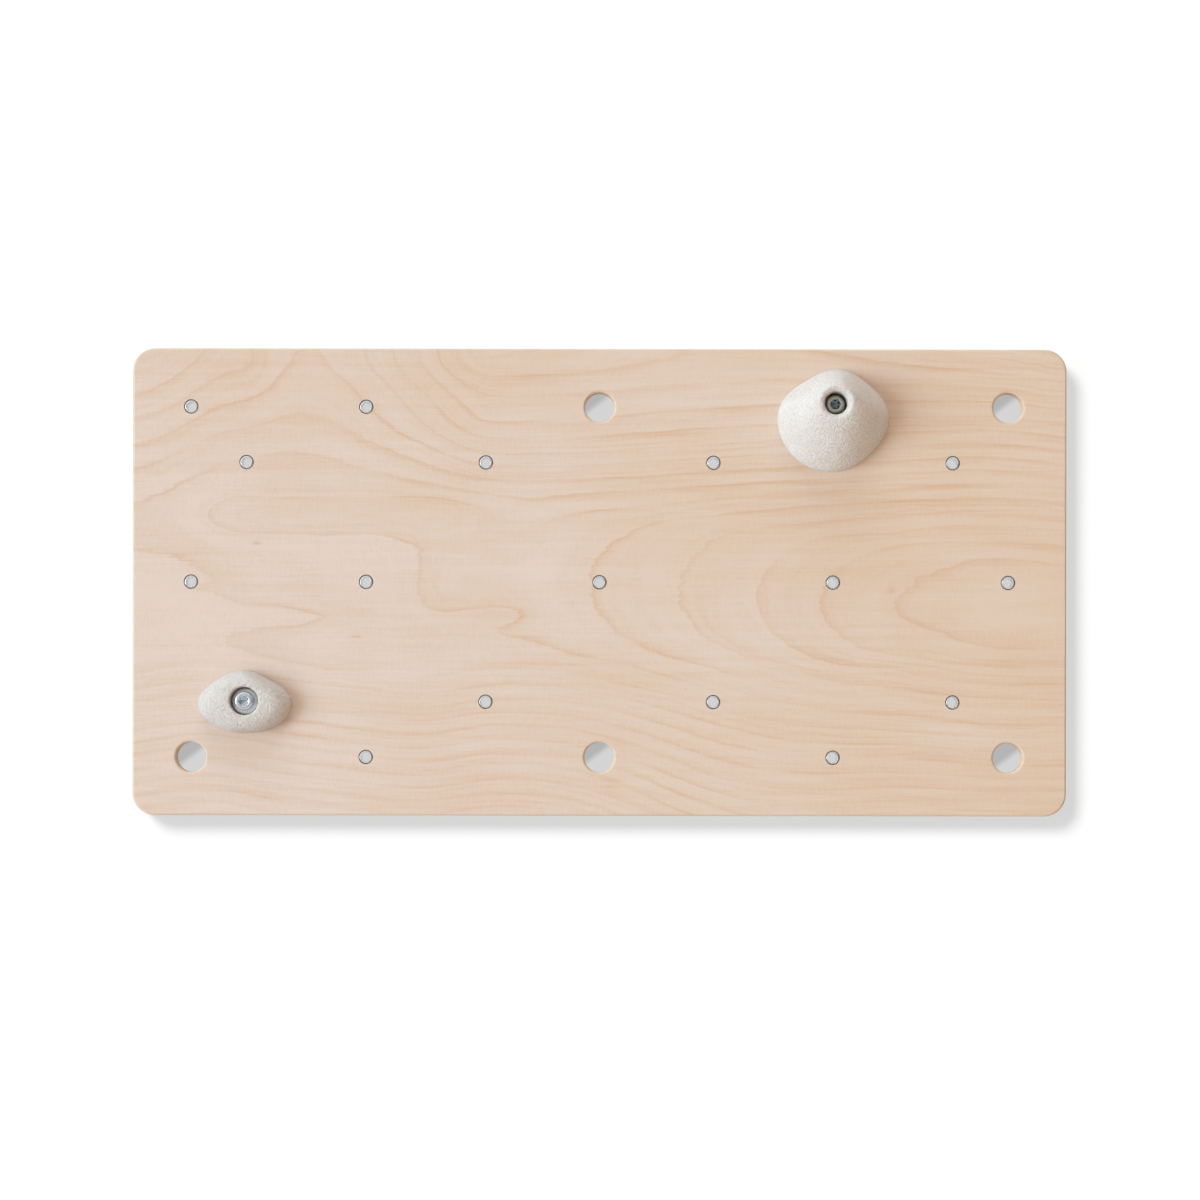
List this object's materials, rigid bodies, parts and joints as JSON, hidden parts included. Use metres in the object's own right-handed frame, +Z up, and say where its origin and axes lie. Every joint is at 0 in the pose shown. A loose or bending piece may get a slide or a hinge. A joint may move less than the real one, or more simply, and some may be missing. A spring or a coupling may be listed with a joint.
{
  "type": "climbing wall panel",
  "caption": "Rectangular birch plywood climbing panel with a grid of M10 T-nuts, round finger holes and two bolt-on resin holds, held upright on a wall.",
  "frame": {"origin": "centre of the board's back face, on the axis of the middle T-nut", "axes": "+X to the right as seen from the front, +Y into the wall, so the front faces -Y, and +Z up"},
  "size_m": [0.8, 0.0685, 0.4],
  "materials": {
    "birch_plywood": "sanded and clear oiled rotary-cut birch veneer, satin",
    "resin": "cast polyester resin with a fine sandy grain, matte off-white",
    "zinc_steel": "bright zinc-plated steel"
  },
  "bodies": {
    "wall_board": {"board": "birch_plywood", "t_nut_01": "zinc_steel", "t_nut_02": "zinc_steel", "t_nut_03": "zinc_steel", "t_nut_04": "zinc_steel", "t_nut_05": "zinc_steel", "t_nut_06": "zinc_steel", "t_nut_07": "zinc_steel", "t_nut_08": "zinc_steel", "t_nut_09": "zinc_steel", "t_nut_10": "zinc_steel", "t_nut_11": "zinc_steel", "t_nut_12": "zinc_steel", "t_nut_13": "zinc_steel", "t_nut_14": "zinc_steel", "t_nut_15": "zinc_steel", "t_nut_16": "zinc_steel", "t_nut_17": "zinc_steel", "t_nut_18": "zinc_steel"},
    "turning_large_hold": {"large_hold": "resin", "large_hold_washer": "zinc_steel"},
    "turning_small_hold": {"small_hold": "resin", "small_hold_washer": "zinc_steel"},
    "turning_large_bolt": {"large_hold_bolt": "zinc_steel"},
    "turning_small_bolt": {"small_hold_bolt": "zinc_steel"}
  },
  "joints": [
    {"name": "large_hold_turn", "type": "hinge", "parent": "wall_board", "child": "turning_large_hold", "pos_m": [0.2, -0.018, 0.15], "axis": [0, -1, 0], "continuous": true},
    {"name": "small_hold_turn", "type": "hinge", "parent": "wall_board", "child": "turning_small_hold", "pos_m": [-0.3025, -0.018, -0.1025], "axis": [0, -1, 0], "continuous": true},
    {"name": "large_bolt_turn", "type": "hinge", "parent": "wall_board", "child": "turning_large_bolt", "pos_m": [0.2, -0.018, 0.15], "axis": [0, -1, 0], "continuous": true},
    {"name": "small_bolt_turn", "type": "hinge", "parent": "wall_board", "child": "turning_small_bolt", "pos_m": [-0.3025, -0.018, -0.1025], "axis": [0, -1, 0], "continuous": true}
  ]
}
